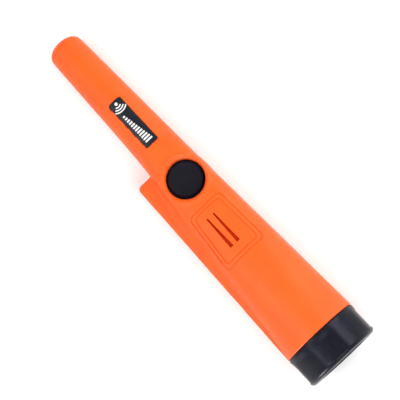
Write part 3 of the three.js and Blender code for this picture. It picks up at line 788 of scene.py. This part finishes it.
def cap_warp(angle, radius, along):
    """Shallow finger hollows outside, and the thread inside.

    Across a hollow the depth is a parabola, with a tail that meets the round cap smoothly."""
    grip = ease(along, SEAM_X + 1, SEAM_X + 5.4) * (1 - ease(along, LENGTH - 3.0, LENGTH - 1.9))
    apart = 360 / HOLLOWS
    from_middle = np.abs((np.degrees(angle) + apart / 2) % apart - apart / 2) / HOLLOW_HALF_ANGLE
    tail = 2.607 * (1.1765 - from_middle).clip(0) ** 2
    hollow = np.where(from_middle < 0.85, 1 - from_middle**2, tail)
    bore = (np.abs(radius - CAP_BORE_R) < 0.05) & (along > CAP_BORE_FRONT) & (along < 229)
    radius = np.where(radius > 21, radius - HOLLOW_DEPTH * grip * hollow, radius)
    return np.where(bore, radius - thread(angle, along, np.pi), radius)


def stations(radius, x0, x1, count):
    """Points between two ends of a straight stretch, so that it can be warped."""
    return [(radius, line(i, 0, x0, count, x1)) for i in range(1, count)]


FILLET = 2.4
cap_front = SEAM_X + 0.3
end_arc = [
    (CAP_R - FILLET * (1 - math.cos(a)), LENGTH - FILLET + FILLET * math.sin(a))
    for a in np.linspace(0, math.pi / 2, 14)
]
cap_profile = [
    (0, LENGTH - CAP_RECESS_DEPTH),
    (CAP_RECESS_R, LENGTH - CAP_RECESS_DEPTH),
    (14.35, LENGTH - 0.55),
    (14.6, LENGTH - 0.12),
    (14.8, LENGTH),
    *end_arc[::-1],
    *stations(CAP_R, LENGTH - FILLET, cap_front + 0.35, 44),
    (CAP_R, cap_front + 0.35),
    (CAP_R - 0.12, cap_front + 0.1),
    (CAP_R - 0.35, cap_front),
    (20.5, cap_front),
    (CAP_MOUTH_R, cap_front + 0.2),
    (CAP_MOUTH_R, CAP_BORE_FRONT - 0.05),
    (CAP_BORE_R, CAP_BORE_FRONT),
    *stations(CAP_BORE_R, CAP_BORE_FRONT, CAP_BORE_BACK, 40),
    (CAP_BORE_R, CAP_BORE_BACK),
    (CAP_BACK_ROOM_R, CAP_BORE_BACK),
    (CAP_BACK_ROOM_R, CAP_FLOOR_X),
    (0, CAP_FLOOR_X),
]
cap = turned("cap_body", cap_profile, (0, CAP_Y, CAP_Z), "X", 256, cap_warp)
finish_piece(cap, "black_plastic", "cap", ["cap_shell"])


# ---- Battery tube, which shows when the cap is off -----------------------------------------------

NECK_R = 18
NECK_FRONT_X = 216
THREAD_HEIGHT = 0.95
TUBE_COLLAR_R = 18.6
TUBE_COLLAR_X = 213
GUIDE_END_X = 214
TUBE_LOW, TUBE_HIGH = node_box("battery_tube")
BATTERY_Z = sum(c.z for c in node_box("battery_case")) / 2


def rounded_box(side, up, wide, high, corner):
    """Across the axis: a rectangle of wide by high with rounded corners."""
    return round_corner(np.abs(side) - wide / 2 + corner, np.abs(up) - high / 2 + corner) - corner


def tube_field(x, y, z):
    """A round threaded neck and a block-shaped guide, with the battery's opening through both."""
    side, up = y - CAP_Y, z - CAP_Z
    reach = np.hypot(side, up)
    ridge = THREAD_HEIGHT * thread(np.arctan2(up, side) % (2 * np.pi), x, 0)
    neck = meet(reach - NECK_R - ridge, np.maximum(NECK_FRONT_X - x, x - TUBE_HIGH.x), 0.6)
    collar = np.maximum(reach - TUBE_COLLAR_R, np.maximum(TUBE_COLLAR_X - x, x - SEAM_X))
    guide = rounded_box(side, z - BATTERY_Z, 29.4, 20.4, 3.6)
    guide = np.maximum(guide, np.maximum(TUBE_LOW.x - x, x - GUIDE_END_X))
    solid = np.minimum(np.minimum(neck, collar), guide)
    return meet(solid, -rounded_box(side, z - BATTERY_Z, 27, 18, 2.4), 0.3)


tube = field_piece(
    "battery_tube_skin",
    tube_field,
    TUBE_LOW - Vector((1, 1, 1)),
    TUBE_HIGH + Vector((1, 1, 1)),
    0.3,
)
finish_piece(tube, "black_plastic", "housing", ["battery_tube"])


# ---- Carried-over CAD nodes ----------------------------------------------------------------------

slots = {part["node"]: part["material_slot"] for part in frame["record"]["subparts"]}
for node_name, node_object in frame["nodes"].items():
    node_object.data.materials.clear()
    node_object.data.materials.append(looks[slots[node_name]].material)


# ---- Stage, light and camera ---------------------------------------------------------------------


def stage_floor():
    """A white floor that glows a little, so that the object's colour doesn't tint it."""
    white = (1, 1, 1, 1)
    look = Look("floor", (0.90, 0.90, 0.90), 0.7, Emission_Color=white, Emission_Strength=0.1)
    bpy.ops.mesh.primitive_plane_add(size=4, location=(0, 0, -0.0002))
    floor = bpy.context.object
    floor.name = "floor"
    floor.data.materials.append(look.material)


def area_light(name, place, target, size, power):
    """A round white lamp, in metres and watts, that looks at target."""
    data = bpy.data.lights.new(name, "AREA")
    data.shape = "DISK"
    data.size = size
    data.energy = power
    lamp = bpy.data.objects.new(name, data)
    bpy.context.scene.collection.objects.link(lamp)
    lamp.location = place
    lamp.rotation_euler = (Vector(target) - Vector(place)).to_track_quat("-Z", "Y").to_euler()
    return lamp


def studio_sky(tree, horizon, zenith):
    """White surroundings that are bright near the floor and dim overhead."""
    place = tree.nodes.new("ShaderNodeTexCoord")
    split = tree.nodes.new("ShaderNodeSeparateXYZ")
    fade = tree.nodes.new("ShaderNodeMapRange")
    fade.inputs["From Min"].default_value = 0.05
    fade.inputs["From Max"].default_value = 0.85
    fade.inputs["To Min"].default_value = horizon
    fade.inputs["To Max"].default_value = zenith
    background = tree.nodes["Background"]
    background.inputs["Color"].default_value = (1, 1, 1, 1)
    tree.links.new(place.outputs["Generated"], split.inputs["Vector"])
    tree.links.new(split.outputs["Z"], fade.inputs["Value"])
    tree.links.new(fade.outputs["Result"], background.inputs["Strength"])


def photo_camera():
    """A long lens above the handle, leaning towards the cap, with the tip at the upper left."""
    target = Vector(to_row((121.2, -2.5, 14)))
    distance = 0.6275
    lean = math.radians(12)
    turn = math.radians(46.8)
    toward = Vector((math.sin(lean), 0.057, math.cos(lean))).normalized()
    along = (Vector((1, 0, 0)) - toward * toward.x).normalized()
    across = toward.cross(along)
    right = along * math.cos(turn) + across * math.sin(turn)
    up = across * math.cos(turn) - along * math.sin(turn)
    data = bpy.data.cameras.new("photo_camera")
    data.lens = 104.9
    data.sensor_width = 36
    camera = bpy.data.objects.new("photo_camera", data)
    bpy.context.scene.collection.objects.link(camera)
    rotation = Matrix((right, up, toward)).transposed()
    camera.matrix_world = Matrix.Translation(target + toward * distance) @ rotation.to_4x4()
    bpy.context.scene.camera = camera


bpy.context.scene.view_settings.view_transform = "Standard"
stage_floor()
world = bpy.data.worlds.new("world")
bpy.context.scene.world = world
world.use_nodes = True
studio_sky(world.node_tree, 0.9, 0.3)
area_light("key", (-0.15, -0.48, 0.82), (0.02, 0, 0.02), 0.5, 4.5)
area_light("fill", (0.05, 0.80, 0.60), (0, 0, 0.02), 0.7, 6.0)
area_light("top", (0.70, 0.10, 0.95), (0.02, 0, 0), 0.7, 6.0)
gleam = area_light("gleam", (0.48, -0.60, 0.16), (0.11, 0, 0.03), 0.35, 9)
gleam.visible_diffuse = False
photo_camera()
